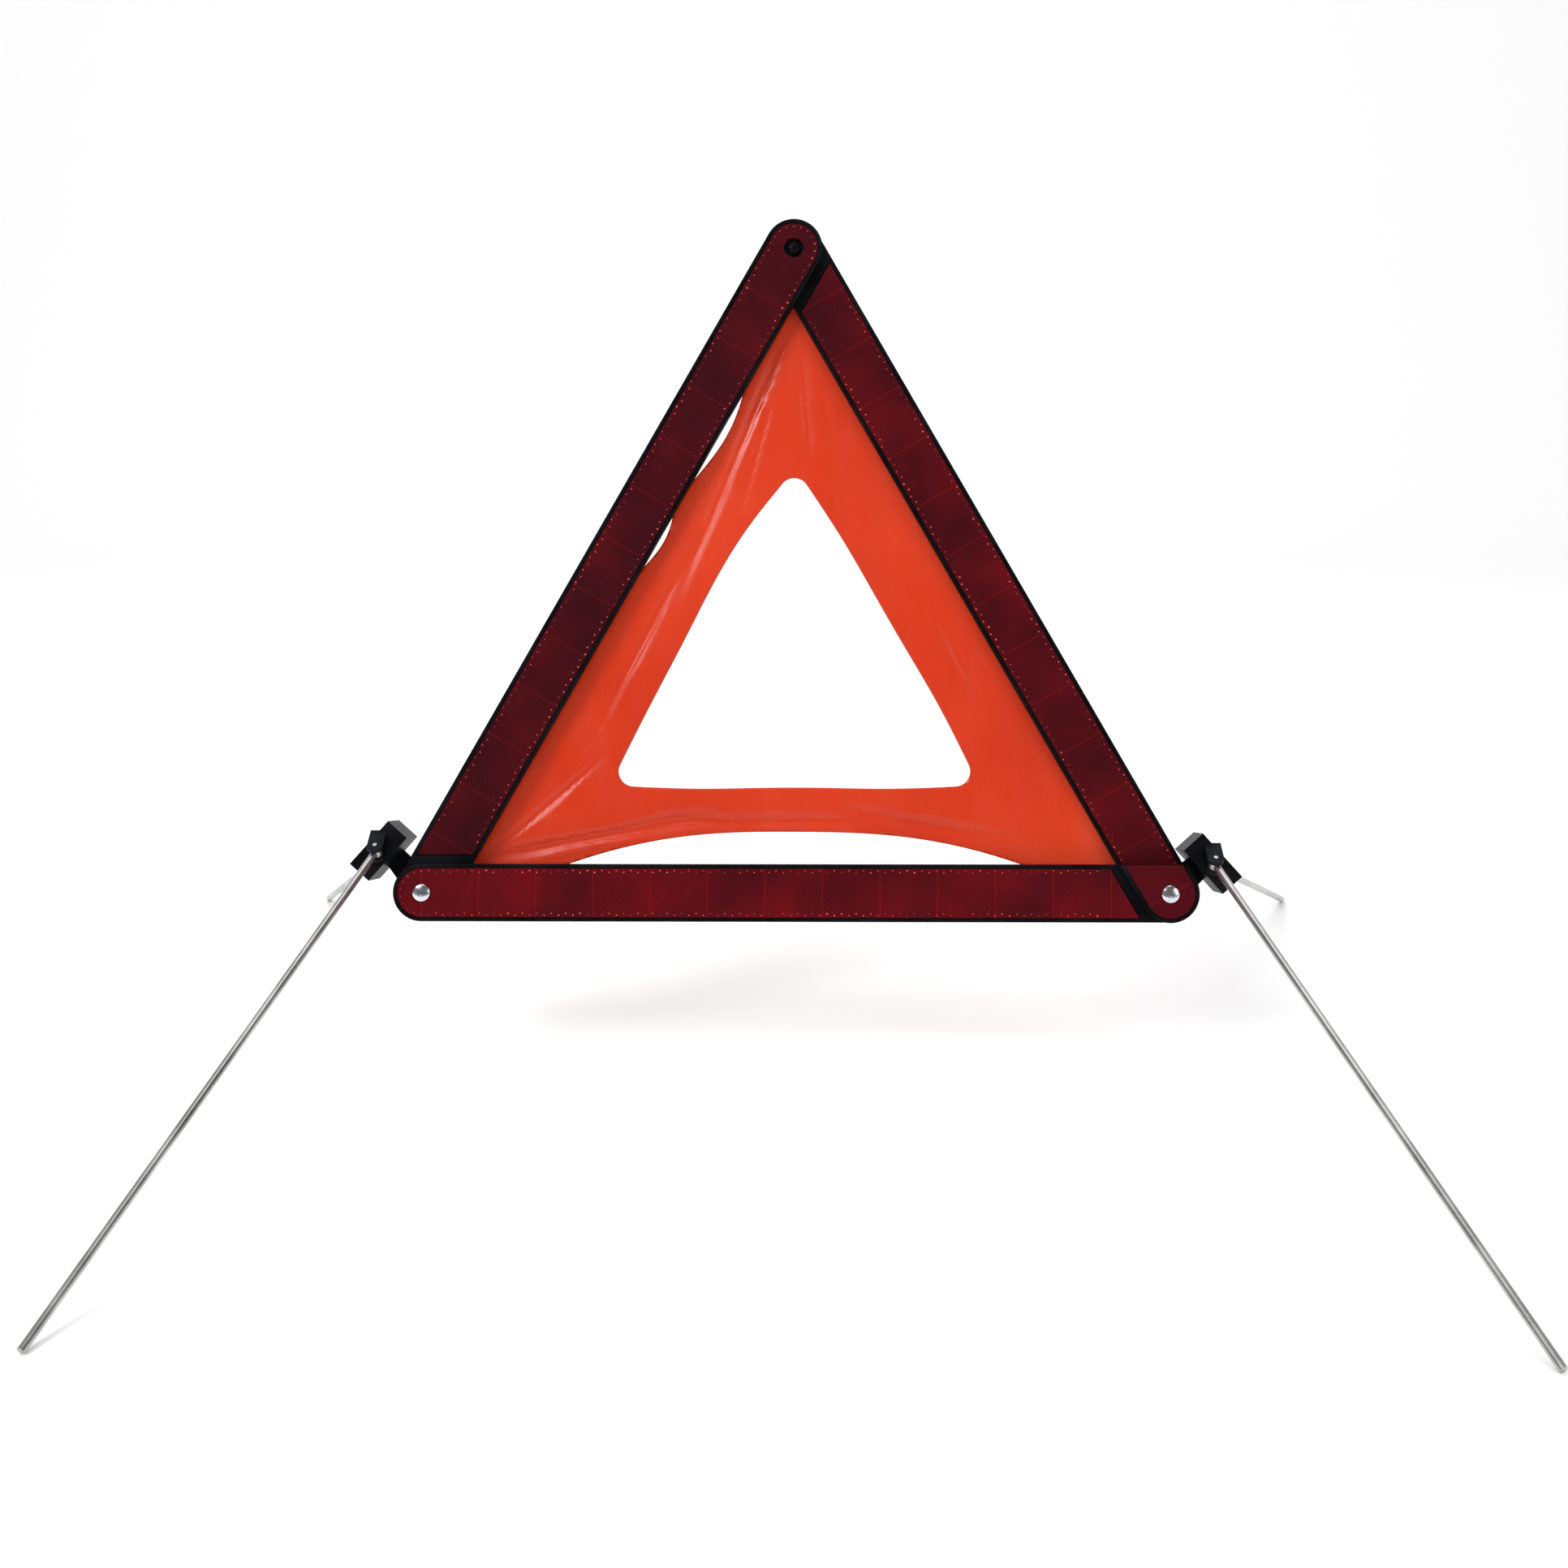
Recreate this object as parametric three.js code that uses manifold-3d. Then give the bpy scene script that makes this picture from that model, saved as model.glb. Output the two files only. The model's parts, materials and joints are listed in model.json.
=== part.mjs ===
// A folding warning triangle: three reflector bars pinned at their corners, a fluorescent film
// hung inside them, and four wire legs on two corner brackets. Millimetres, +Z up, X to the right,
// -Y towards the reader. The triangle is built upright about the point midway between its two lower
// rivets, and then leans back over the feet. The origin is the middle of the base bar's lower edge.
import * as THREE from "three";
import { mergeVertices } from "three/addons/utils/BufferGeometryUtils.js";
import Module from "manifold-3d";

const wasm = await Module();
wasm.setup();

// ---- driving dimensions ----
const SPAN = 442; // between neighbouring corner pins
const BAR_RADIUS = 17; // half the width of a bar, and its end radius
const BAR_THICK = 4.6;
const LAYER_GAP = 0.3; // air between stacked bars
const RIM = 2.2; // width of the raised edge round a reflector
const POCKET_DEPTH = 3;
const FIT_GAP = 0.3; // air between neighbouring pieces
const LENS_SINK = 0.2; // how far a reflector sits below its rim
const LEDGE = 5; // plain tray between a reflector's cut end and the bar that crosses it

const RIVET_SHANK = 2.5;
const RIVET_HOLE = 2.6;
const RIVET_HEAD = 5.3;
const RIVET_DOME = 1.6;
const LUG_THICK = 2.2;
const CAP_THICK = 3.4; // the corner cap at the right arm's lower end
const CAP_POCKET = 2; // the depth of the reflector's pocket in that cap
const SPACER_RADIUS = 8;

const SNAP_RADIUS = 3.4;
const SNAP_DOME = 1.4; // the height of the stud's domed tip
const STUD_SUNK = 1.2; // how far the dome's rim stands behind the left arm's face
const STUD_FOOT = 1.2; // the thickness of the stud's plate behind the right arm
const SNAP_HOLE = 3.9;
const SNAP_WINDOW = 5.8; // the round opening in the left reflector

const LEG_RADIUS = 2.2;
const LEG_LENGTH = 345;
const FRONT_LEG_OUT = 102; // how far a front foot stands out sideways from its pivot
const REAR_LEG_OUT = 125;
const GROUND = -115; // the height of the feet's plane, measured from the lower rivets
const LEAN = THREE.MathUtils.degToRad(15.7); // how far the triangle leans back over its level feet
const PIN_RADIUS = 1.2;
const EYE_RADIUS = 3.4; // the barrel at a leg's root
const EYE_LENGTH = 5;
const PIN_GAP = 0.15; // air round a leg's pin
const CHEEK_THICK = 2;
const CHEEK_WALL = 1.4; // material round the eye in a cheek
const CHEEK_REACH = 13; // from the pin into the bracket's body
const PIN_PROUD = 1; // how far a leg's pin stands out of each cheek
const BLOCK_WIDE = 15; // the bracket's block, across and along its tilt
const BLOCK_TALL = 34;
const BLOCK_TILT = THREE.MathUtils.degToRad(42);
const BLOCK_CLEAR = 1.5; // air between the block and a leg's eye
const LUG_RADIUS = 11; // the round plate that the rivet holds
const ARM_HALF = 9; // half the height of the plate that joins the block to the lug
const ARM_LOW_START = 6; // where that plate's lower and upper edges start, either side of the rivet
const ARM_HIGH_START = 3;

const FILM_THICK = 0.8;
const FILM_TAB = 6; // how far the film reaches behind the bars
const FILM_SLACK_HALF = 150; // half the width of its slack lower edge
const FILM_SLACK_TOP = 36; // the height of that edge's middle
const WINDOW_INSET = 63; // from the pin triangle's sides to the film's window
const WINDOW_CORNER = 9;
const BUTTON_SHANK = 1.4;
const BUTTON_HEAD = 2.8;
const BUTTON_THICK = 1.1;
const BUTTON_EDGE = 0.5; // the height of the button's rim, below its sloping edge
const BUTTON_SLOPE = 0.8;
const BUTTON_SHARES = [0.16, 0.5, 0.84]; // where the buttons stand along the right arm
const ARC_STEPS = 20;
const DOME_STEPS = 6;
const OVERCUT = 1; // how far a cutting solid runs past the face that it cuts

const HALF = SPAN / 2;
const APEX = SPAN * Math.sin(Math.PI / 3);
const PITCH = BAR_THICK + LAYER_GAP;
// The y of each bar's front face: the base bar in front, the left arm behind it, the right arm last.
const BASE_FRONT = -PITCH - BAR_THICK / 2;
const LEFT_FRONT = -BAR_THICK / 2;
const RIGHT_FRONT = PITCH - BAR_THICK / 2;
const CAP_FRONT = BASE_FRONT - LAYER_GAP - CAP_THICK;
const LUG_FRONT = RIGHT_FRONT + BAR_THICK + LAYER_GAP;
const LUG_BACK = LUG_FRONT + LUG_THICK;
const FILM_FRONT = LUG_FRONT + FIT_GAP;

// ---- materials ----
function finish(color, roughness, metalness) {
  return new THREE.MeshStandardMaterial({ color, roughness, metalness });
}
const black = () => finish(0x121316, 0.42, 0);
const red = () => finish(0x5a0f18, 0.3, 0);
const orange = () => finish(0xe2401f, 0.38, 0);
const steel = () => finish(0xb9bab6, 0.32, 1);
const chrome = () => finish(0xdfe2ea, 0.12, 1);

// ---- solids ----
function toSolid(geometry) {
  const bare = new THREE.BufferGeometry();
  const flat = geometry.index ? geometry.toNonIndexed() : geometry;
  bare.setAttribute("position", flat.getAttribute("position"));
  const merged = mergeVertices(bare, 1e-4);
  return new wasm.Manifold(
    new wasm.Mesh({
      numProp: 3,
      vertProperties: new Float32Array(merged.attributes.position.array),
      triVerts: new Uint32Array(merged.index.array),
    }),
  );
}

function toGeometry(solid) {
  const mesh = solid.getMesh();
  const geometry = new THREE.BufferGeometry();
  geometry.setAttribute("position", new THREE.BufferAttribute(new Float32Array(mesh.vertProperties), 3));
  geometry.setIndex(new THREE.BufferAttribute(new Uint32Array(mesh.triVerts), 1));
  geometry.computeVertexNormals();
  return geometry;
}

function named(name, solid, material) {
  const mesh = new THREE.Mesh(toGeometry(solid), material);
  mesh.name = name;
  return mesh;
}

// A flat shape drawn in x and z, standing from y = front to y = back.
function slab(shape, front, back) {
  const geometry = new THREE.ExtrudeGeometry(shape, {
    depth: back - front,
    bevelEnabled: false,
    curveSegments: ARC_STEPS,
  });
  geometry.rotateX(Math.PI / 2);
  geometry.translate(0, back, 0);
  return toSolid(geometry);
}

// A round bar along y.
function dowel(radius, front, back, x = 0, z = 0) {
  const geometry = new THREE.CylinderGeometry(radius, radius, back - front, 2 * ARC_STEPS);
  geometry.translate(x, (front + back) / 2, z);
  return toSolid(geometry);
}

// A body of revolution about y through the origin: points are (radius, y), from low y to high y.
function turned(points) {
  return toSolid(new THREE.LatheGeometry(points.map(([r, y]) => new THREE.Vector2(r, y)), 2 * ARC_STEPS));
}

function domePoints(radius, height, base, direction) {
  const points = [];
  for (let i = 0; i <= DOME_STEPS; i += 1) {
    const angle = (i / DOME_STEPS) * (Math.PI / 2);
    points.push([radius * Math.cos(angle), base + direction * height * Math.sin(angle)]);
  }
  points[DOME_STEPS][0] = 0;
  return points;
}

// ---- bar outlines, in a frame that runs along +x from the bar's uncovered end ----
function capsule(radius) {
  const shape = new THREE.Shape();
  shape.moveTo(0, -radius);
  shape.lineTo(SPAN, -radius);
  shape.absarc(SPAN, 0, radius, -Math.PI / 2, Math.PI / 2, false);
  shape.lineTo(0, radius);
  shape.absarc(0, 0, radius, Math.PI / 2, (3 * Math.PI) / 2, false);
  return shape;
}

// The reflector's outline: round at the uncovered end, cut parallel to the crossing bar at the other.
function lensOutline(radius, back) {
  const cut = (v) => SPAN - (BAR_RADIUS + back + v / 2) / Math.sin(Math.PI / 3);
  const shape = new THREE.Shape();
  shape.moveTo(0, -radius);
  shape.lineTo(cut(-radius), -radius);
  shape.lineTo(cut(radius), radius);
  shape.lineTo(0, radius);
  shape.absarc(0, 0, radius, Math.PI / 2, (3 * Math.PI) / 2, false);
  return shape;
}

function tray(front, openEndHole) {
  const pocket = slab(lensOutline(BAR_RADIUS - RIM, LEDGE), front - OVERCUT, front + POCKET_DEPTH);
  return slab(capsule(BAR_RADIUS), front, front + BAR_THICK)
    .subtract(pocket)
    .subtract(dowel(openEndHole, front - OVERCUT, front + BAR_THICK + OVERCUT))
    .subtract(dowel(RIVET_HOLE, front - OVERCUT, front + BAR_THICK + OVERCUT, SPAN, 0));
}

function lens(front, openEndHole) {
  const outline = lensOutline(BAR_RADIUS - RIM - FIT_GAP, LEDGE + 2 * FIT_GAP);
  const solid = slab(outline, front + LENS_SINK, front + POCKET_DEPTH - FIT_GAP);
  return solid.subtract(dowel(openEndHole, front - OVERCUT, front + BAR_THICK));
}

// A bar's tray and reflector, standing at its uncovered end and turned in the plane of the triangle.
function bar(name, x, z, turn, front, openEndHole, lensHole) {
  const group = new THREE.Group();
  group.position.set(x, 0, z);
  group.rotation.y = -turn;
  group.add(named(name + "_tray", tray(front, openEndHole), black()));
  group.add(named(name + "_reflector", lens(front, lensHole), red()));
  return group;
}

// ---- corner fastenings ----
function rivet(front, back) {
  const points = [
    ...domePoints(RIVET_HEAD, RIVET_DOME, front - FIT_GAP, -1).reverse(),
    [RIVET_SHANK, front - FIT_GAP],
    [RIVET_SHANK, back + FIT_GAP],
    ...domePoints(RIVET_HEAD, RIVET_DOME, back + FIT_GAP, 1),
  ];
  return turned(points);
}

// A ring that fills the layer where no bar crosses.
function spacer(front) {
  const back = front + BAR_THICK;
  return dowel(SPACER_RADIUS, front, back).subtract(dowel(RIVET_HOLE, front - OVERCUT, back + OVERCUT));
}

// The snap stud is fixed in the right arm and stands through the left arm's round window.
function snapStud() {
  const foot = RIGHT_FRONT + BAR_THICK + FIT_GAP;
  return turned([
    [0, foot + STUD_FOOT],
    [RIVET_HEAD, foot + STUD_FOOT],
    [RIVET_HEAD, foot],
    [RIVET_SHANK, foot],
    [RIVET_SHANK, RIGHT_FRONT - FIT_GAP / 2],
    [SNAP_RADIUS, RIGHT_FRONT - FIT_GAP / 2],
    ...domePoints(SNAP_RADIUS, SNAP_DOME, LEFT_FRONT + STUD_SUNK, -1),
  ].reverse());
}

// The right arm's lower end, turned in place and cut off level at half a bar's width.
function cornerPiece(radius, front, back) {
  const side = 6 * BAR_RADIUS;
  const below = new THREE.BoxGeometry(side, side, side);
  below.translate(0, CAP_FRONT, BAR_RADIUS - side / 2);
  const hole = dowel(RIVET_HOLE, front - OVERCUT, back + OVERCUT);
  return slab(capsule(radius), front, back).subtract(hole).rotate([0, -120, 0]).intersect(toSolid(below));
}

// The cap that carries the right arm's face over the base bar's end.
function cornerCap() {
  const pocket = cornerPiece(BAR_RADIUS - RIM, CAP_FRONT - OVERCUT, CAP_FRONT + CAP_POCKET);
  return cornerPiece(BAR_RADIUS, CAP_FRONT, CAP_FRONT + CAP_THICK).subtract(pocket);
}

function cornerCapLens() {
  return cornerPiece(BAR_RADIUS - RIM - FIT_GAP, CAP_FRONT + LENS_SINK, CAP_FRONT + CAP_POCKET - FIT_GAP);
}

// ---- legs and brackets; side is -1 at the left corner and 1 at the right ----
// Left and right pivots stand at different heights, so that the folded legs pass each other.
const BRACKET_OUT = 24; // from a corner's rivet to its legs' pivots
const pivotHeight = (side) => (side < 0 ? 25 : 18);
const PIVOT_FRONT = -19;
const PIVOT_BACK = 19;

// The directions, in the leaning triangle's frame, of a spread leg that reaches the ground and of
// its pin, which is square to the spread and the folded leg.
function hingeFrame(side, facing) {
  const upright = new THREE.Vector3(1, 0, 0);
  const pivot = new THREE.Vector3(0, facing < 0 ? PIVOT_FRONT : PIVOT_BACK, pivotHeight(side));
  const drop = pivot.applyAxisAngle(upright, -LEAN).z - GROUND;
  const out = facing < 0 ? FRONT_LEG_OUT : REAR_LEG_OUT;
  const depth = Math.sqrt(LEG_LENGTH ** 2 - out ** 2 - drop ** 2);
  const down = new THREE.Vector3(side * out, facing * depth, -drop).divideScalar(LEG_LENGTH);
  down.applyAxisAngle(upright, LEAN);
  const folded = new THREE.Vector3(-side, 0, 0);
  const pin = new THREE.Vector3().crossVectors(down, folded).normalize();
  return { down, pin };
}

// A cylinder between two points.
function rod(radius, from, to) {
  const along = new THREE.Vector3().subVectors(to, from);
  const geometry = new THREE.CylinderGeometry(radius, radius, along.length(), ARC_STEPS);
  geometry.applyQuaternion(
    new THREE.Quaternion().setFromUnitVectors(new THREE.Vector3(0, 1, 0), along.clone().normalize()),
  );
  const middle = from.clone().add(to).multiplyScalar(0.5);
  geometry.translate(middle.x, middle.y, middle.z);
  return toSolid(geometry);
}

function across(pin, length) {
  return [pin.clone().multiplyScalar(-length / 2), pin.clone().multiplyScalar(length / 2)];
}

function leg(side, facing) {
  const { down, pin } = hingeFrame(side, facing);
  const eye = rod(EYE_RADIUS, ...across(pin, EYE_LENGTH));
  const shank = rod(LEG_RADIUS, new THREE.Vector3(), down.clone().multiplyScalar(LEG_LENGTH));
  return eye.add(shank).subtract(rod(PIN_RADIUS + PIN_GAP, ...across(pin, 2 * EYE_LENGTH)));
}

function legPin(side, facing) {
  const { pin } = hingeFrame(side, facing);
  return rod(PIN_RADIUS, ...across(pin, EYE_LENGTH + 2 * (CHEEK_THICK + PIN_PROUD)));
}

// Two flat cheeks round a leg's eye, square to its pin, that reach into the bracket's body.
function clevis(side, facing, centre, bodyCentre) {
  const { pin } = hingeFrame(side, facing);
  const inward = bodyCentre.clone().sub(centre);
  inward.addScaledVector(pin, -inward.dot(pin)).normalize();
  const sideways = new THREE.Vector3().crossVectors(pin, inward);
  const radius = EYE_RADIUS + CHEEK_WALL;
  const cheek = new THREE.Shape();
  cheek.absarc(0, 0, radius, Math.PI / 2, (3 * Math.PI) / 2, false);
  cheek.lineTo(CHEEK_REACH, -radius);
  cheek.lineTo(CHEEK_REACH, radius);
  const hole = new THREE.Path();
  hole.absarc(0, 0, PIN_RADIUS + PIN_GAP, 0, 2 * Math.PI, true);
  cheek.holes.push(hole);
  let made = null;
  for (const start of [EYE_LENGTH / 2 + FIT_GAP, -EYE_LENGTH / 2 - FIT_GAP - CHEEK_THICK]) {
    const geometry = new THREE.ExtrudeGeometry(cheek, {
      depth: CHEEK_THICK,
      bevelEnabled: false,
      curveSegments: ARC_STEPS / 2,
    });
    geometry.translate(0, 0, start);
    const place = new THREE.Matrix4().makeBasis(inward, sideways, pin).setPosition(centre);
    geometry.applyMatrix4(place);
    made = made ? made.add(toSolid(geometry)) : toSolid(geometry);
  }
  return made;
}

function bracket(side) {
  const height = pivotHeight(side);
  const depth = PIVOT_BACK - PIVOT_FRONT - 2 * (EYE_RADIUS + BLOCK_CLEAR);
  const body = new THREE.BoxGeometry(BLOCK_WIDE, depth, BLOCK_TALL);
  body.rotateY(-side * BLOCK_TILT);
  body.translate(side * BRACKET_OUT, 0, height);
  let made = toSolid(body);
  const middle = new THREE.Vector3(side * BRACKET_OUT, 0, height);
  for (const facing of [-1, 1]) {
    const centre = middle.clone().setY(facing < 0 ? PIVOT_FRONT : PIVOT_BACK);
    made = made.add(clevis(side, facing, centre, middle));
  }
  const lug = new THREE.Shape();
  lug.absarc(0, 0, LUG_RADIUS, 0, 2 * Math.PI, false);
  const arm = new THREE.Shape();
  arm.moveTo(side * ARM_LOW_START, -ARM_HALF);
  arm.lineTo(side * BRACKET_OUT, height - ARM_HALF);
  arm.lineTo(side * BRACKET_OUT, height + ARM_HALF);
  arm.lineTo(-side * ARM_HIGH_START, ARM_HALF);
  made = made.add(slab(lug, LUG_FRONT, LUG_BACK)).add(slab(arm, LUG_FRONT, LUG_BACK));
  return made.subtract(dowel(RIVET_HOLE, LUG_FRONT - OVERCUT, LUG_BACK + OVERCUT));
}

function corner(side, word) {
  const group = new THREE.Group();
  group.position.set(side * HALF, 0, 0);
  group.add(named(word + "_leg_bracket", bracket(side), black()));
  for (const facing of [-1, 1]) {
    const where = facing < 0 ? "front" : "rear";
    const set = new THREE.Group();
    set.position.set(side * BRACKET_OUT, facing < 0 ? PIVOT_FRONT : PIVOT_BACK, pivotHeight(side));
    set.add(named(`${word}_${where}_leg`, leg(side, facing), steel()));
    set.add(named(`${word}_${where}_leg_pin`, legPin(side, facing), steel()));
    group.add(set);
  }
  return group;
}

// ---- film: it hangs behind the bars, buttoned to the right arm, slack along the base bar ----

// A triangle standing inward of the pin triangle by inset, with rounded corners.
function roundedTriangle(inset, radius) {
  const path = new THREE.Path();
  const reach = SPAN / Math.sqrt(3) - 2 * inset - 2 * radius;
  for (const degrees of [210, 330, 90]) {
    const angle = THREE.MathUtils.degToRad(degrees);
    const x = reach * Math.cos(angle);
    const z = APEX / 3 + reach * Math.sin(angle);
    path.absarc(x, z, radius, angle - Math.PI / 3, angle + Math.PI / 3, false);
  }
  path.closePath();
  return path;
}

function film() {
  const inset = BAR_RADIUS - FILM_TAB;
  const cornerX = HALF - Math.sqrt(3) * inset;
  const sheet = new THREE.Shape();
  sheet.moveTo(-cornerX, inset);
  sheet.lineTo(-FILM_SLACK_HALF, inset);
  sheet.quadraticCurveTo(0, 2 * FILM_SLACK_TOP - inset, FILM_SLACK_HALF, inset);
  sheet.lineTo(cornerX, inset);
  sheet.lineTo(0, APEX - 2 * inset);
  sheet.closePath();
  sheet.holes.push(roundedTriangle(WINDOW_INSET, WINDOW_CORNER));
  let solid = slab(sheet, FILM_FRONT, FILM_FRONT + FILM_THICK);
  for (const share of BUTTON_SHARES) {
    const [x, z] = buttonAt(share);
    const hole = dowel(BUTTON_SHANK + FIT_GAP, FILM_FRONT - OVERCUT, FILM_FRONT + FILM_THICK + OVERCUT, x, z);
    solid = solid.subtract(hole);
  }
  return solid;
}

// A point on the back of the right arm's inner edge, a share of the way up it.
function buttonAt(share) {
  const inward = BAR_RADIUS - FILM_TAB / 2;
  const along = share * SPAN;
  const slope = Math.PI / 3;
  return [
    HALF - along * Math.cos(slope) - inward * Math.sin(slope),
    along * Math.sin(slope) - inward * Math.cos(slope),
  ];
}

// A plastic button that pins the film to the back of the right arm.
function filmButton() {
  const start = RIGHT_FRONT + BAR_THICK + LAYER_GAP / 2;
  const neck = FILM_FRONT + FILM_THICK + FIT_GAP;
  return turned([
    [0, start],
    [BUTTON_SHANK, start],
    [BUTTON_SHANK, neck],
    [BUTTON_HEAD, neck],
    [BUTTON_HEAD, neck + BUTTON_EDGE],
    [BUTTON_HEAD - BUTTON_SLOPE, neck + BUTTON_THICK],
    [0, neck + BUTTON_THICK],
  ]);
}

// ---- assembly ----
const triangle = new THREE.Group();
triangle.rotation.x = -LEAN;
const third = (2 * Math.PI) / 3;
triangle.add(bar("base", -HALF, 0, 0, BASE_FRONT, RIVET_HOLE, RIVET_HOLE));
triangle.add(bar("right_arm", HALF, 0, third, RIGHT_FRONT, RIVET_HOLE, RIVET_HOLE));
triangle.add(bar("left_arm", 0, APEX, 2 * third, LEFT_FRONT, SNAP_HOLE, SNAP_WINDOW));

const leftCorner = corner(-1, "left");
leftCorner.add(named("left_rivet", rivet(BASE_FRONT, LUG_BACK), chrome()));
leftCorner.add(named("left_spacer", spacer(RIGHT_FRONT), black()));
const rightCorner = corner(1, "right");
rightCorner.add(named("right_rivet", rivet(CAP_FRONT, LUG_BACK), chrome()));
rightCorner.add(named("right_spacer", spacer(LEFT_FRONT), black()));
rightCorner.add(named("right_corner_cap", cornerCap(), black()));
rightCorner.add(named("right_corner_reflector", cornerCapLens(), red()));
triangle.add(leftCorner, rightCorner);

const stud = named("snap_stud", snapStud(), black());
stud.position.set(0, 0, APEX);
triangle.add(stud);

triangle.add(named("film", film(), orange()));
BUTTON_SHARES.forEach((share, i) => {
  const [x, z] = buttonAt(share);
  const button = named("film_button_" + (i + 1), filmButton(), black());
  button.position.set(x, 0, z);
  triangle.add(button);
});

const lowerEdge = new THREE.Vector3(0, BASE_FRONT + BAR_THICK / 2, -BAR_RADIUS);
triangle.position.copy(lowerEdge.applyEuler(triangle.rotation)).negate();

const standing = new THREE.Group();
standing.add(triangle);

export default standing;
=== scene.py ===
"""A folding warning triangle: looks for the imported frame's bars, film, legs and fastenings."""
import json
import math
import random

import bmesh
import bpy
from mathutils import Matrix, Vector, noise
from mathutils.geometry import delaunay_2d_cdt


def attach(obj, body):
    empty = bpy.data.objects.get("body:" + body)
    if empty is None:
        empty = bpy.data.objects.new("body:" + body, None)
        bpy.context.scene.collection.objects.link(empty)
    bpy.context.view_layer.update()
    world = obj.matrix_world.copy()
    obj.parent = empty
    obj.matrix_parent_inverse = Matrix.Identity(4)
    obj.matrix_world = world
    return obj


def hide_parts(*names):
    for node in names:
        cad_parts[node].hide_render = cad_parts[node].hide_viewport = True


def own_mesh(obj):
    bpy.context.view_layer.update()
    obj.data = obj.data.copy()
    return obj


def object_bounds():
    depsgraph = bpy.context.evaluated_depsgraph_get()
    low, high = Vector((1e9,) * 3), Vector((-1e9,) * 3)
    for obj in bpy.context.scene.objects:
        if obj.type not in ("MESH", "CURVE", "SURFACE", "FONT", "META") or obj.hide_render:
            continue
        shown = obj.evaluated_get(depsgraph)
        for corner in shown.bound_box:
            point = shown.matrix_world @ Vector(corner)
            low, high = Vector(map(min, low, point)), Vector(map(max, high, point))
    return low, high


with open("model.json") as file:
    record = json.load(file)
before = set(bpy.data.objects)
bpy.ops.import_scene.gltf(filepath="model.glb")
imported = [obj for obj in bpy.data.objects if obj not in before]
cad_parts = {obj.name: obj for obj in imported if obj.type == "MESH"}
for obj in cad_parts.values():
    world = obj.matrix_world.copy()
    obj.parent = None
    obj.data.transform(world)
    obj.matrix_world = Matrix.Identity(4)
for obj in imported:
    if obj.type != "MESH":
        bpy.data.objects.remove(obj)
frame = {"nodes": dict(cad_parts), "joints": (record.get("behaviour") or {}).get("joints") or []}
cad_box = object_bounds()
random.seed(7)

MM = 0.001
JOINTS = {joint["name"]: joint for joint in frame["joints"]}
LEFT_PIN = Vector(JOINTS["left_arm_fold"]["pos_m"])
RIGHT_PIN = Vector(JOINTS["right_arm_fold"]["pos_m"])
FOLD_AXIS = Vector(JOINTS["left_arm_fold"]["axis"])
SPAN = (RIGHT_PIN - LEFT_PIN).length
# The triangle's own upright frame, with its origin midway between the lower pins, and its lean.
LEAN = math.atan2(FOLD_AXIS.z, FOLD_AXIS.y)
STAND = Matrix.Translation((LEFT_PIN + RIGHT_PIN) / 2) @ Matrix.Rotation(LEAN, 4, "X")
HALF = SPAN / 2
APEX_Z = SPAN * math.sin(math.pi / 3)


def upright_box(node):
    """A node's lowest and highest corners in the triangle's upright frame."""
    back = STAND.inverted()
    points = [back @ v.co for v in frame["nodes"][node].data.vertices]
    low = Vector([min(p[i] for p in points) for i in range(3)])
    high = Vector([max(p[i] for p in points) for i in range(3)])
    return low, high


BAR_RADIUS = upright_box("base_tray")[1].z
# How red each bar's reflector is painted: one lens in lit and shaded copies, the arms darkened by painted
# shade.
LENS_PAINTED_SHADE = {"base": 1.0, "right_arm": 0.76, "left_arm": 0.56}
# Each bar's uncovered end and its turn about y, in the upright frame.
BARS = {
    "base": (Vector((-HALF, 0, 0)), 0),
    "right_arm": (Vector((HALF, 0, 0)), 120),
    "left_arm": (Vector((0, 0, APEX_Z)), 240),
}


# ---- small helpers ----
def bar_matrix(name):
    """Carries points drawn along +x and +z onto a bar, in the upright frame's plane y = 0."""
    start, turn = BARS[name]
    return Matrix.Translation(start) @ Matrix.Rotation(-math.radians(turn), 4, "Y")


def mesh_object(name, mesh, material):
    piece = bpy.data.objects.new(name, mesh)
    bpy.context.scene.collection.objects.link(piece)
    mesh.materials.append(material)
    return piece


def from_bmesh(name, shape, material):
    mesh = bpy.data.meshes.new(name)
    bmesh.ops.recalc_face_normals(shape, faces=shape.faces)
    shape.to_mesh(mesh)
    shape.free()
    for face in mesh.polygons:
        face.use_smooth = True
    return mesh_object(name, mesh, material)


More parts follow.
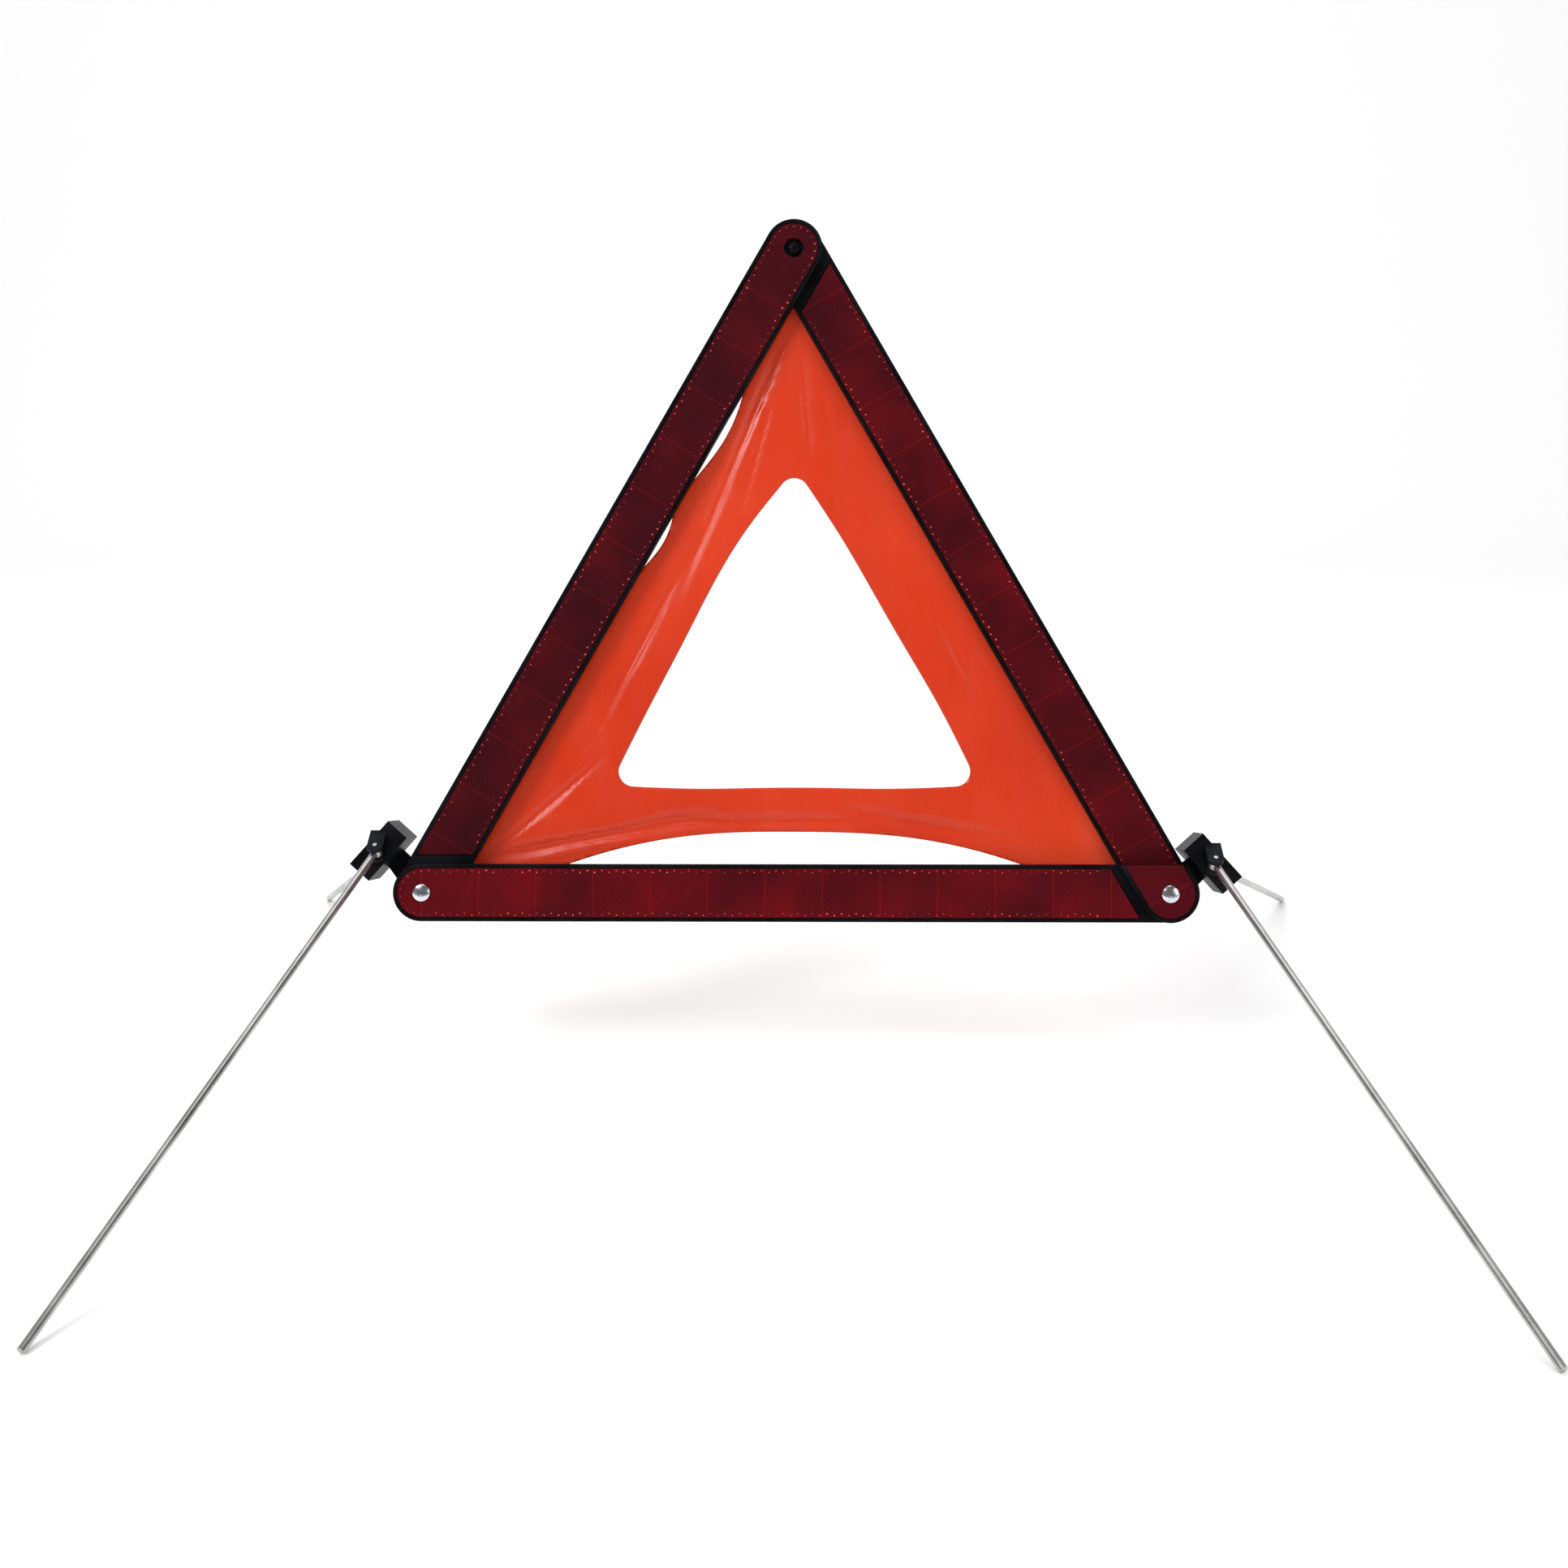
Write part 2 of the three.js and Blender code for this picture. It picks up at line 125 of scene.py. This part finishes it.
class Nodes:
    """A new material and short ways to add and join its nodes."""

    def __init__(self, name):
        self.material = bpy.data.materials.new(name)
        self.material.use_nodes = True
        self.tree = self.material.node_tree
        self.shader = self.tree.nodes["Principled BSDF"]

    def add(self, kind, inputs=None, **settings):
        node = self.tree.nodes.new(kind)
        for key, value in settings.items():
            setattr(node, key, value)
        for key, value in (inputs or {}).items():
            self.put(node, key, value)
        return node

    def put(self, node, key, value):
        if isinstance(value, bpy.types.NodeSocket):
            self.tree.links.new(value, node.inputs[key])
        else:
            node.inputs[key].default_value = value

    def set(self, **values):
        for key, value in values.items():
            self.put(self.shader, key.replace("_", " "), value)

    def place(self, guide=None):
        return self.add("ShaderNodeTexCoord", object=guide).outputs["Object"]

    def noise(self, place, scale, detail=4, rough=0.5):
        return self.add(
            "ShaderNodeTexNoise",
            {"Vector": place, "Scale": scale, "Detail": detail, "Roughness": rough},
        ).outputs["Fac"]

    def math(self, operation, first, second=0.0):
        node = self.add("ShaderNodeMath", operation=operation)
        self.put(node, 0, first)
        self.put(node, 1, second)
        return node.outputs[0]

    def ramp(self, value, stops):
        node = self.add("ShaderNodeValToRGB", {"Fac": value})
        bar = node.color_ramp
        while len(bar.elements) < len(stops):
            bar.elements.new(0.5)
        for element, (position, colour) in zip(bar.elements, stops):
            element.position = position
            element.color = (*colour, 1)
        return node.outputs["Color"]

    def range(self, value, low, high, start=0.0, end=1.0):
        return self.add(
            "ShaderNodeMapRange",
            {"Value": value, "From Min": start, "From Max": end, "To Min": low, "To Max": high},
        ).outputs["Result"]

    def wave(self, value, pitch):
        """A sine of a length, once for each pitch."""
        return self.math("SINE", self.math("MULTIPLY", value, 2 * math.pi / pitch))

    def bump(self, height, strength, distance):
        inputs = {"Height": height, "Strength": strength, "Distance": distance}
        node = self.add("ShaderNodeBump", inputs)
        self.put(self.shader, "Normal", node.outputs["Normal"])


# ---- materials ----
GROOVE_PITCH = 3.2 * MM
PRISM_PITCH = 1.1 * MM


def black_plastic():
    """Moulded black plastic: a fine grain, uneven gloss and paler edges, partly rubbed wear and partly a
    painted highlight along the rims.
    """
    m = Nodes("black_plastic")
    place = m.place()
    blotch = m.noise(place, 34, 5)
    grain = m.noise(place, 1900, 2)
    edge = m.add("ShaderNodeNewGeometry").outputs["Pointiness"]
    # Paler edges: partly wear, partly a painted highlight that stands in for the thin light lines along the
    # rims.
    wear_and_rim_highlight = m.math("MULTIPLY", m.range(edge, 0, 1, 0.52, 0.62), m.range(blotch, 0.1, 0.9, 0.35, 0.7))
    dark = m.ramp(blotch, [(0.3, (0.0012, 0.0013, 0.0022)), (0.75, (0.0032, 0.0034, 0.0055))])
    mix = m.add("ShaderNodeMix", data_type="RGBA")
    m.put(mix, "Factor", m.math("MULTIPLY", wear_and_rim_highlight, 0.35))
    colours = [socket for socket in mix.inputs if socket.type == "RGBA"]
    m.tree.links.new(dark, colours[0])
    colours[1].default_value = (0.03, 0.032, 0.037, 1)
    mixed = next(socket for socket in mix.outputs if socket.type == "RGBA")
    m.set(Base_Color=mixed, Roughness=m.range(blotch, 0.3, 0.46), Specular_IOR_Level=0.07)
    m.bump(grain, 0.12, 0.0002)
    return m.material


def red_lens(name, guide, depth):
    """Deep red moulded lens: prism cells set in squares whose grooves turn; depth darkens its red with
    painted shade, making lit and shaded copies for the bars.
    """
    m = Nodes(name)
    place = m.place(guide)
    parts = m.add("ShaderNodeSeparateXYZ", {"Vector": place})
    x, z = parts.outputs["X"], parts.outputs["Z"]
    square = 2 * BAR_RADIUS
    number = m.math("FLOOR", m.math("DIVIDE", x, square))
    odd = m.math("MODULO", m.math("ABSOLUTE", number), 2)
    slant = m.math("SUBTRACT", m.math("MULTIPLY", odd, 2), 1)
    along = m.math("ADD", x, m.math("MULTIPLY", z, slant))
    groove = m.wave(along, GROOVE_PITCH)
    rising = m.wave(m.math("ADD", x, z), PRISM_PITCH)
    falling = m.wave(m.math("SUBTRACT", x, z), PRISM_PITCH)
    cells = m.math("MULTIPLY", rising, falling)
    cloud = m.noise(place, 26, 5)
    patch = m.range(m.noise(place, 15, 2), 0, 1, 0.46, 0.62)
    share = m.math("FRACT", m.math("DIVIDE", x, square))
    seam_at = m.math("ABSOLUTE", m.math("SUBTRACT", share, 0.5))
    seam = m.range(seam_at, 0, 1, 0.488, 0.499)
    lines = m.math("MULTIPLY", m.range(groove, 0, 1, 0.1, 1), patch)
    tone = m.math("ADD", m.math("MULTIPLY", cloud, 0.75), m.math("MULTIPLY", lines, -0.2))
    tone = m.math("ADD", tone, m.math("MULTIPLY", seam, 0.5))
    tone = m.math("ADD", tone, m.math("MULTIPLY", cells, 0.035))
    reds = [(0.2, 0.05), (0.42, 0.095), (0.75, 0.18)]
    # depth is painted shade: the same lens made darker on the arms than on the base.
    colour = m.ramp(tone, [(at, (red * depth, 0.0022, 0.005)) for at, red in reds])
    m.set(Base_Color=colour, Roughness=m.range(cloud, 0.3, 0.45), Specular_IOR_Level=0.05)
    height = m.math("ADD", m.math("MULTIPLY", cells, 0.5), m.math("MULTIPLY", lines, 0.8))
    m.bump(height, 0.2, 0.00025)
    return m.material


def weld_dot():
    """The bright red points where a lens is welded to its tray."""
    m = Nodes("weld_dot_red")
    tone = m.noise(m.place(), 70, 3)
    stops = [(0.36, (0.1, 0.006, 0.007)), (0.5, (0.38, 0.03, 0.018)), (0.68, (0.78, 0.1, 0.045))]
    m.set(Base_Color=m.ramp(tone, stops), Roughness=0.28, Specular_IOR_Level=0.3)
    return m.material


def orange_film():
    """Fluorescent vinyl film: strong orange red, lit a little from within, with scuffs and soft creases."""
    m = Nodes("orange_film")
    place = m.place()
    cloud = m.noise(place, 9, 4)
    fine = m.noise(place, 900, 3)
    slant = {"Vector": place, "Scale": (1.0, 1.0, 0.25), "Rotation": (0, 0.45, 0)}
    stretch = m.add("ShaderNodeMapping", slant)
    scuff = m.noise(stretch.outputs["Vector"], 60, 6, 0.65)
    stops = [(0.3, (0.49, 0.026, 0.004)), (0.55, (0.56, 0.034, 0.006)), (0.75, (0.63, 0.05, 0.011))]
    colour = m.ramp(cloud, stops)
    m.set(Base_Color=colour, Roughness=m.range(scuff, 0.16, 0.36, 0.3, 0.7), Specular_IOR_Level=0.3)
    m.set(Emission_Color=colour, Emission_Strength=0.04)
    height = m.math("ADD", m.math("MULTIPLY", scuff, 0.8), m.math("MULTIPLY", fine, 0.12))
    m.bump(height, 0.16, 0.0009)
    return m.material


def zinc_wire():
    """Drawn zinc-plated wire: dull patches and a fine speckled grain."""
    m = Nodes("zinc_wire")
    place = m.place()
    patch = m.noise(place, 42, 5)
    speck = m.noise(place, 850, 4, 0.7)
    stops = [(0.3, (0.33, 0.33, 0.315)), (0.55, (0.5, 0.5, 0.485)), (0.75, (0.62, 0.625, 0.62))]
    m.set(Base_Color=m.ramp(patch, stops), Metallic=1.0, Roughness=m.range(patch, 0.24, 0.42))
    m.bump(speck, 0.12, 0.0002)
    return m.material


def nickel():
    """Polished nickel rivet with light scratches."""
    m = Nodes("nickel_rivet")
    place = m.place()
    scratch = m.noise(place, 700, 5, 0.7)
    smear = m.noise(place, 160, 2)
    colour = m.ramp(smear, [(0.3, (0.62, 0.63, 0.68)), (0.7, (0.86, 0.87, 0.92))])
    m.set(Base_Color=colour, Metallic=1.0, Roughness=m.range(scratch, 0.1, 0.24))
    m.bump(scratch, 0.06, 0.0001)
    return m.material


# ---- carried-over nodes ----
BEVEL_ANGLE = math.radians(35)  # edges sharper than this are rounded
LENS_EDGE = 0.35 * MM
TRAY_EDGE = 0.45 * MM
MOULDED_EDGE = 0.4 * MM
SMALL_EDGE = 0.2 * MM
WIRE_EDGE = 0.25 * MM
RIVET_EDGE = 0.15 * MM


def set_material(node, material):
    obj = frame["nodes"][node]
    obj.data.materials.clear()
    obj.data.materials.append(material)


def soften(node, width):
    """Rounds a carried-over node's edges and shades it smoothly."""
    obj = frame["nodes"][node]
    bevel = obj.modifiers.new("edge", "BEVEL")
    bevel.width = width
    bevel.segments = 2
    bevel.limit_method = "ANGLE"
    bevel.angle_limit = BEVEL_ANGLE
    bevel.harden_normals = True
    for face in obj.data.polygons:
        face.use_smooth = True
    obj.modifiers.new("shade", "WEIGHTED_NORMAL").keep_sharp = True


# ---- weld dots: two rows along each lens, and round its uncovered end ----
DOT_PITCH = 4.3 * MM
DOT_RADIUS = 0.55 * MM
DOT_HEIGHT = 0.3 * MM
DOT_SINK = 0.05 * MM
DOT_INSET = 4.3 * MM  # from a bar's edge to its rows of dots
DOT_STAGGER = 0.55 * MM
DOT_RINGS = 3
DOT_SIDES = 8


def add_dot(shape, centre, radius):
    """A low round blister facing -y."""
    rows = []
    for r in range(DOT_RINGS):
        angle = r / DOT_RINGS * math.pi / 2
        size = radius * math.cos(angle)
        rise = DOT_HEIGHT * math.sin(angle)
        row = []
        for i in range(DOT_SIDES):
            turn = 2 * math.pi * i / DOT_SIDES
            corner = Vector((size * math.cos(turn), -rise, size * math.sin(turn)))
            row.append(shape.verts.new(centre + corner))
        rows.append(row)
    top = shape.verts.new(centre + Vector((0, -DOT_HEIGHT, 0)))
    for lower, upper in zip(rows, rows[1:]):
        for i in range(DOT_SIDES):
            j = (i + 1) % DOT_SIDES
            shape.faces.new((lower[i], lower[j], upper[j], upper[i]))
    for i in range(DOT_SIDES):
        shape.faces.new((rows[-1][i], rows[-1][(i + 1) % DOT_SIDES], top))
    shape.faces.new(list(reversed(rows[0])))


def dot_places():
    """Where the dots stand on a bar: two staggered rows, joined by an arc round the uncovered end."""
    inset = BAR_RADIUS - DOT_INSET
    reach = SPAN - 2.1 * BAR_RADIUS
    spots = []
    for i in range(1, int(reach / DOT_PITCH)):
        for side in (-1, 1):
            spots.append((i * DOT_PITCH, side * (inset - DOT_STAGGER * (-1) ** i)))
    bend = int(math.pi * inset / DOT_PITCH)
    for i in range(bend + 1):
        angle = math.pi / 2 + math.pi * i / bend
        spots.append((inset * math.cos(angle), inset * math.sin(angle)))
    return spots


def dot_rows(name, material):
    face_y = upright_box(name + "_reflector")[0].y
    shape = bmesh.new()
    place = bar_matrix(name)
    for x, z in dot_places():
        centre = place @ Vector((x, 0, z))
        centre.y = face_y + DOT_SINK
        add_dot(shape, centre, DOT_RADIUS * random.uniform(0.75, 1.15))
    shape.transform(STAND)
    piece = from_bmesh(name + "_weld_dots", shape, material)
    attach(piece, name)


# ---- film: one thin creased sheet with a window, behind the bars ----
FILM_STEP = 2.6 * MM
FILM_SKIN = 0.35 * MM
CREASE_LIFT = 1.25
FLUTTER = 1.2 * MM  # the sheet's uneven lie between its creases
FLAT_BORDER = 6 * MM  # the width over which the sheet leaves the backs of the bars
WINDOW_INSET = 63 * MM  # from the lines between the pins to the window
WINDOW_CORNER = 9 * MM
WINDOW_STEPS = 30
CORNER_STEPS = 8
EDGE_STEPS = 90
SLACK_HALF = 150 * MM  # half the width of the slack lower edge
SLACK_TOP = 36.5 * MM  # the height of that edge's middle


# Where the film stands clear of the left arm: start and length as shares of that side, and the gap.
LEFT_GAPS = ((0.165, 0.17, 4.8 * MM), (0.375, 0.105, 3.8 * MM))


def slack(t, start, length):
    """A sagging edge: it drops away smoothly after the start and comes back more slowly."""
    share = (t - start) / length
    if not 0 < share < 1:
        return 0.0
    return math.sin(math.pi * share ** 0.85) ** 1.15


def film_outline(inset):
    """The sheet's edge as (x, z): straight at the right, slack below and in two places at the left."""
    corner = HALF - math.sqrt(3) * inset
    edge = [(-corner, inset)]
    for i in range(EDGE_STEPS + 1):
        t = i / EDGE_STEPS
        x = -SLACK_HALF + 2 * SLACK_HALF * t
        rise = (1 - abs(2 * t - 1) ** 2.3) * (SLACK_TOP - inset)
        edge.append((x, inset + rise + 0.7 * MM * math.sin(9 * t) * math.sin(math.pi * t)))
    edge.append((corner, inset))
    top = APEX_Z - 2 * inset
    for i in range(1, EDGE_STEPS):
        t = i / EDGE_STEPS
        edge.append((corner * (1 - t), inset + (top - inset) * t))
    edge.append((0, top))
    hidden = BAR_RADIUS - inset - 2 * MM
    for i in range(1, EDGE_STEPS):
        t = i / EDGE_STEPS
        pull = hidden * min(1, 6 * t, 6 * (1 - t))
        for start, length, depth in LEFT_GAPS:
            pull += depth * slack(t, start, length)
        x, z = -corner * t, top + (inset - top) * t
        edge.append((x + pull * math.sin(math.pi / 3), z - pull * 0.5))
    return edge


def window_outline():
    """The window's edge: a rounded triangle whose sides wave a little."""
    radius = WINDOW_CORNER
    reach = SPAN / math.sqrt(3) - 2 * WINDOW_INSET - 2 * radius
    points = []
    corners = []
    for degrees in (210, 330, 90):
        a = math.radians(degrees)
        corners.append((Vector((reach * math.cos(a), APEX_Z / 3 + reach * math.sin(a))), a))
    bows = (1.2 * MM, 2.6 * MM, 5.2 * MM)
    leans = (0, 0, -1.6 * MM)
    for k, (centre, a) in enumerate(corners):
        for i in range(CORNER_STEPS + 1):
            b = a - math.pi / 3 + 2 * math.pi / 3 * i / CORNER_STEPS
            points.append(centre + radius * Vector((math.cos(b), math.sin(b))))
        after, b = corners[(k + 1) % 3]
        start = points[-1]
        end = after + radius * Vector((math.cos(b - math.pi / 3), math.sin(b - math.pi / 3)))
        outward = Vector((math.cos(a + math.pi / 3), math.sin(a + math.pi / 3)))
        for i in range(1, WINDOW_STEPS):
            t = i / WINDOW_STEPS
            wave = bows[k] * math.sin(math.pi * t) - leans[k] * math.sin(2 * math.pi * t)
            wave += 0.6 * MM * math.sin(3 * math.pi * t)
            points.append(start.lerp(end, t) + outward * wave)
    return [(p.x, p.y) for p in points]


def ridge(point, start, end, width):
    """A crease that fades at both ends and across its width."""
    line = end - start
    t = max(0.0, min(1.0, (point - start).dot(line) / line.length_squared))
    away = (point - start - line * t).length
    return math.exp(-((away / width) ** 2)) * math.sin(math.pi * t) ** 0.7


def film_creases():
    """Creases as (start, end, width, height) in the plane of the sheet."""
    low_left, low_right, top = Vector((-0.185, 0.02)), Vector((0.185, 0.02)), Vector((0, 0.345))
    made = [
        (top, Vector((-0.075, 0.165)), 3.2 * MM, 1.8 * MM),
        (top, Vector((-0.035, 0.22)), 2.2 * MM, -1.1 * MM),
        (Vector((0.004, 0.325)), Vector((0.010, 0.25)), 2.0 * MM, 1.3 * MM),
        (Vector((-0.055, 0.22)), Vector((-0.125, 0.085)), 3.0 * MM, 1.9 * MM),
        (Vector((0.075, 0.19)), Vector((0.115, 0.105)), 2.6 * MM, 1.4 * MM),
        (low_left, Vector((-0.045, 0.047)), 4.0 * MM, 2.4 * MM),
        (low_left, Vector((-0.105, 0.09)), 3.0 * MM, -1.8 * MM),
        (Vector((-0.085, 0.042)), Vector((0.05, 0.043)), 3.4 * MM, 1.8 * MM),
        (low_right, Vector((0.02, 0.052)), 3.4 * MM, 1.7 * MM),
        (low_right, Vector((0.09, 0.038)), 2.4 * MM, -1.3 * MM),
    ]
    for _ in range(9):
        start = Vector((random.uniform(-0.13, 0.13), random.uniform(0.03, 0.28)))
        turn = random.uniform(0, math.pi)
        length = random.uniform(0.02, 0.05)
        end = start + length * Vector((math.cos(turn), math.sin(turn)))
        made.append((start, end, random.uniform(1.5, 2.6) * MM, random.uniform(-0.7, 0.9) * MM))
    return made


def film_points(low, high):
    """A staggered grid of points over the sheet's box."""
    points = []
    z = low.z
    row = 0
    while z < high.z:
        x = low.x + (row % 2) * FILM_STEP / 2
        while x < high.x:
            points.append(Vector((x, z)))
            x += FILM_STEP
        z += FILM_STEP * 0.866
        row += 1
    return points


def film_lift(point, creases):
    """How far the sheet stands off its middle plane, away from the bars."""
    lift = 0.0
    for start, end, width, height in creases:
        lift += CREASE_LIFT * height * ridge(point, start, end, width)
    lift += FLUTTER * noise.noise(Vector((point.x * 22, 3.1, point.y * 22)))
    return abs(lift) * edge_fade(point) + 0.1 * MM


def ring_edges(first, count):
    """A closed ring of edges through count points, from the first."""
    return [(first + i, first + (i + 1) % count) for i in range(count)]


def film_sheet(material):
    low, high = upright_box("film")
    outer = film_outline(low.z)
    inner = window_outline()
    points = [Vector(p) for p in outer + inner] + film_points(low, high)
    edges = ring_edges(0, len(outer)) + ring_edges(len(outer), len(inner))
    flat_points, _, flat_faces = delaunay_2d_cdt(points, edges, [], 0, 1e-6)[:3]
    creases = film_creases()
    shape = bmesh.new()
    middle = (low.y + high.y) / 2
    verts = [shape.verts.new((p.x, middle + film_lift(p, creases), p.y)) for p in flat_points]
    for face in flat_faces:
        centre = sum((flat_points[i] for i in face), Vector((0, 0))) / len(face)
        if inside(centre, outer) and not inside(centre, inner):
            shape.faces.new([verts[i] for i in face])
    loose = [v for v in shape.verts if not v.link_faces]
    bmesh.ops.delete(shape, geom=loose, context="VERTS")
    shape.transform(STAND)
    piece = from_bmesh("film_sheet", shape, material)
    solid = piece.modifiers.new("skin", "SOLIDIFY")
    solid.thickness = FILM_SKIN
    solid.offset = 0
    apply_modifiers(piece)
    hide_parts("film")
    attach(piece, "right_arm")
    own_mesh(piece)


def edge_fade(p):
    """0 under the bars, where the sheet lies flat, and 1 well inside the opening."""
    slope = math.pi / 6
    from_base = p.y
    from_right = (Vector((HALF, 0)) - p).dot(Vector((math.cos(slope), math.sin(slope))))
    from_left = (Vector((-HALF, 0)) - p).dot(Vector((-math.cos(slope), math.sin(slope))))
    near = min(from_base, from_right, from_left) - BAR_RADIUS
    return max(0.0, min(1.0, near / FLAT_BORDER))


def inside(point, loop):
    """Whether a point lies in a closed loop."""
    found = False
    for (x1, y1), (x2, y2) in zip(loop, loop[1:] + loop[:1]):
        if (y1 > point.y) != (y2 > point.y):
            if point.x < (x2 - x1) * (point.y - y1) / (y2 - y1) + x1:
                found = not found
    return found


def apply_modifiers(piece):
    graph = bpy.context.evaluated_depsgraph_get()
    made = bpy.data.meshes.new_from_object(piece.evaluated_get(graph))
    piece.modifiers.clear()
    piece.data = made


# ---- stage ----
PALE = (0.9, 0.9, 0.9)
BEND_STEPS = 16


def floor(ground):
    """A plain pale floor under the feet, and a wall that rises out of it behind. Metres."""
    shape = bmesh.new()
    depth_front = 6.0
    depth_back = 3.2
    wide = 9.0
    tall = 7.0
    bend = 1.2
    profile = [(-depth_front, 0.0), (depth_back - bend, 0.0)]
    for i in range(1, BEND_STEPS + 1):
        angle = math.pi / 2 * i / BEND_STEPS
        profile.append((depth_back - bend + bend * math.sin(angle), bend - bend * math.cos(angle)))
    profile.append((depth_back, tall))
    rows = [[shape.verts.new((x, y, ground + z)) for y, z in profile] for x in (-wide, wide)]
    for i in range(len(profile) - 1):
        shape.faces.new((rows[0][i], rows[1][i], rows[1][i + 1], rows[0][i + 1]))
    m = Nodes("pale_floor")
    m.set(Base_Color=(*PALE, 1), Roughness=0.9)
    from_bmesh("floor", shape, m.material)


def area_light(name, position, target, size, power):
    data = bpy.data.lights.new(name, "AREA")
    data.shape = "DISK"
    data.size = size
    data.energy = power
    lamp = bpy.data.objects.new(name, data)
    bpy.context.scene.collection.objects.link(lamp)
    lamp.location = position
    lamp.rotation_euler = (Vector(target) - Vector(position)).to_track_quat("-Z", "Y").to_euler()


WORLD_LIGHT = 0.82
WORLD_MIRRORED = 0.16  # what glossy surfaces see of the pale surroundings


def light_scene():
    middle = (0, 0, 0.15)
    area_light("key", (-1.7, -1.9, 2.5), middle, 1.3, 52)
    area_light("fill", (2.2, -2.0, 1.2), middle, 2.0, 16)
    area_light("top", (0, 0.6, 3.0), middle, 2.2, 26)
    world = bpy.data.worlds.new("soft_white")
    world.use_nodes = True
    tree = world.node_tree
    background = tree.nodes["Background"]
    background.inputs["Color"].default_value = (1, 1, 1, 1)
    glossy = tree.nodes.new("ShaderNodeLightPath").outputs["Is Glossy Ray"]
    darker = tree.nodes.new("ShaderNodeMapRange")
    darker.inputs["To Min"].default_value = WORLD_LIGHT
    darker.inputs["To Max"].default_value = WORLD_MIRRORED
    tree.links.new(glossy, darker.inputs["Value"])
    tree.links.new(darker.outputs["Result"], background.inputs["Strength"])
    bpy.context.scene.world = world
    bpy.context.scene.view_settings.view_transform = "Standard"


def place_camera():
    """Near the triangle and almost square to its lean, from a little to its right. Metres."""
    data = bpy.data.cameras.new("camera")
    camera = bpy.data.objects.new("camera", data)
    bpy.context.scene.collection.objects.link(camera)
    distance = 1.098
    side_step = 0.022
    height = 0.0645
    turn = math.radians(1.45)
    frame_width = 0.932
    data.sensor_width = 36
    data.lens = 36 * distance / frame_width
    place = Matrix.Translation((side_step, -distance, height)) @ Matrix.Rotation(turn, 4, "Z")
    camera.matrix_world = STAND @ place @ Matrix.Rotation(math.pi / 2, 4, "X")
    bpy.context.scene.camera = camera


# ---- build ----
black = black_plastic()
dot_red = weld_dot()
film_material = orange_film()
wire = zinc_wire()
bright = nickel()

for bar_name in BARS:
    guide = bpy.data.objects.new(bar_name + "_guide", None)
    bpy.context.scene.collection.objects.link(guide)
    guide.matrix_world = STAND @ bar_matrix(bar_name)
    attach(guide, bar_name)
    lens_material = red_lens(bar_name + "_lens", guide, LENS_PAINTED_SHADE[bar_name])
    set_material(bar_name + "_reflector", lens_material)
    soften(bar_name + "_reflector", LENS_EDGE)
    set_material(bar_name + "_tray", black)
    soften(bar_name + "_tray", TRAY_EDGE)
    dot_rows(bar_name, dot_red)
    if bar_name == "right_arm":
        set_material("right_corner_reflector", lens_material)
        soften("right_corner_reflector", LENS_EDGE)

for node in frame["nodes"]:
    if node.endswith(("_leg", "_leg_pin")):
        set_material(node, wire)
        soften(node, WIRE_EDGE)
    elif node.endswith("_rivet"):
        set_material(node, bright)
        soften(node, RIVET_EDGE)
    elif node.endswith(("_bracket", "_spacer", "_cap")) or node.startswith(("snap_", "film_button")):
        set_material(node, black)
        soften(node, MOULDED_EDGE if node.endswith(("_bracket", "_cap")) else SMALL_EDGE)

film_sheet(film_material)
floor(cad_box[0].z)
light_scene()
place_camera()
